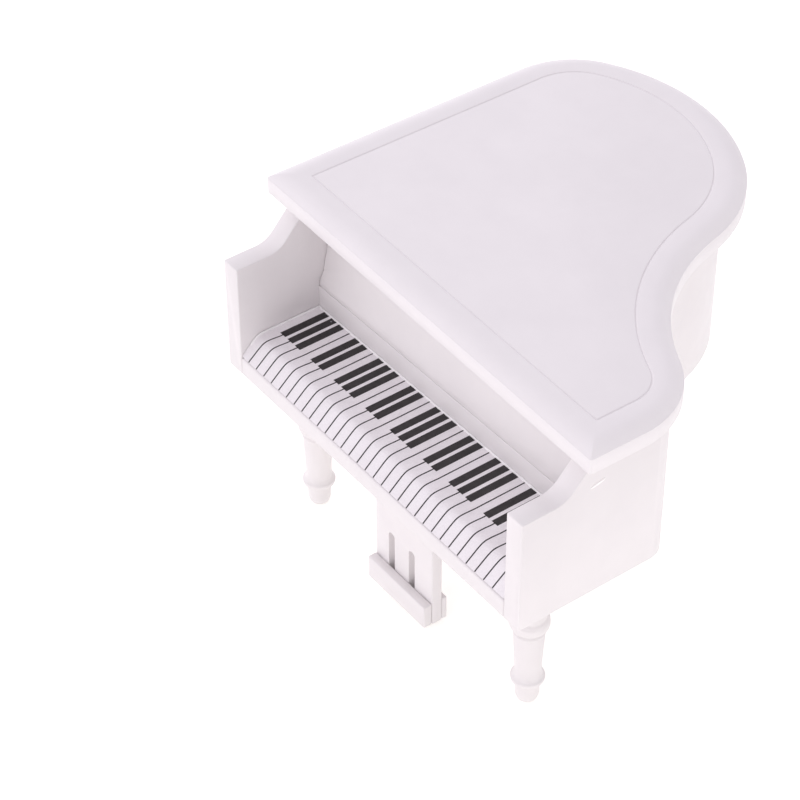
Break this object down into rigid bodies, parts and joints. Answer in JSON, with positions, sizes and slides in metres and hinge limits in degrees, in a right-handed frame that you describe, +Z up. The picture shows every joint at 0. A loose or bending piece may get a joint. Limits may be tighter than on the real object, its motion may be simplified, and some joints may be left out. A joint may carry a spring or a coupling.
{
  "type": "miniature grand piano",
  "caption": "Dolls' house grand piano in white lacquered wood: hinged lid with prop stick, hinged fallboard over a printed keyboard, turned legs and a pedal lyre.",
  "frame": {"origin": "middle of the bounding box's underside, on the floor between the feet", "axes": "+X to the treble side, -Y is the keyboard front where the player sits, +Y the tail, +Z up"},
  "size_m": [0.1436, 0.1378, 0.1077],
  "materials": {
    "white_lacquer": "smooth white semi-gloss lacquer over wood",
    "printed_paper": "matt printed paper, white keys outlined in charcoal with charcoal black keys",
    "raw_wood": "bare basswood",
    "spruce": "clear matt varnish on thin plywood",
    "gold_card": "printed gold card with strings",
    "brass": "polished brass"
  },
  "bodies": {
    "root": {"bottom_board": "white_lacquer", "curved_rim": "white_lacquer", "dowel_front_left": "raw_wood", "dowel_front_right": "raw_wood", "dowel_tail": "raw_wood", "front_slip": "white_lacquer", "harp_card": "gold_card", "hinge_front_case_leaf": "brass", "hinge_front_case_leaf_screw_1": "brass", "hinge_front_case_leaf_screw_2": "brass", "hinge_front_pin": "brass", "hinge_rear_case_leaf": "brass", "hinge_rear_case_leaf_screw_1": "brass", "hinge_rear_case_leaf_screw_2": "brass", "hinge_rear_pin": "brass", "key_block": "white_lacquer", "key_print": "printed_paper", "key_riser": "white_lacquer", "left_side": "white_lacquer", "leg_front_left": "white_lacquer", "leg_front_right": "white_lacquer", "leg_tail": "white_lacquer", "liner_spine": "raw_wood", "liner_tail": "raw_wood", "liner_treble": "raw_wood", "lyre_dowel_left": "raw_wood", "lyre_dowel_right": "raw_wood", "pedal_bar_front": "white_lacquer", "pedal_bar_rear": "white_lacquer", "pedal_lyre": "white_lacquer", "prop_rest_peg": "brass", "prop_screw": "brass", "right_side": "white_lacquer", "soundboard": "spruce", "stretcher": "white_lacquer", "tail_leg_block": "raw_wood"},
    "lid": {"lid": "white_lacquer", "hinge_front_lid_leaf": "brass", "hinge_rear_lid_leaf": "brass", "hinge_front_lid_leaf_screw_1": "brass", "hinge_front_lid_leaf_screw_2": "brass", "hinge_rear_lid_leaf_screw_1": "brass", "hinge_rear_lid_leaf_screw_2": "brass"},
    "fallboard": {"fallboard": "white_lacquer", "fallboard_pin_left": "brass", "fallboard_pin_right": "brass"},
    "prop": {"prop_stick": "white_lacquer"}
  },
  "joints": [
    {"name": "lid_hinge", "type": "hinge", "parent": "root", "child": "lid", "pos_m": [-0.0681, 0, 0.0991], "axis": [0, -1, 0], "range_deg": [0, 35]},
    {"name": "fallboard_hinge", "type": "hinge", "parent": "root", "child": "fallboard", "pos_m": [0, -0.0387, 0.0725], "axis": [1, 0, 0], "range_deg": [0, 100]},
    {"name": "prop_hinge", "type": "hinge", "parent": "root", "child": "prop", "pos_m": [-0.006, -0.0263, 0.0945], "axis": [0, -1, 0], "range_deg": [0, 77]}
  ],
  "couplings": [
    {"joint": "prop_hinge", "follows": "lid_hinge", "ratio": 2.2}
  ]
}
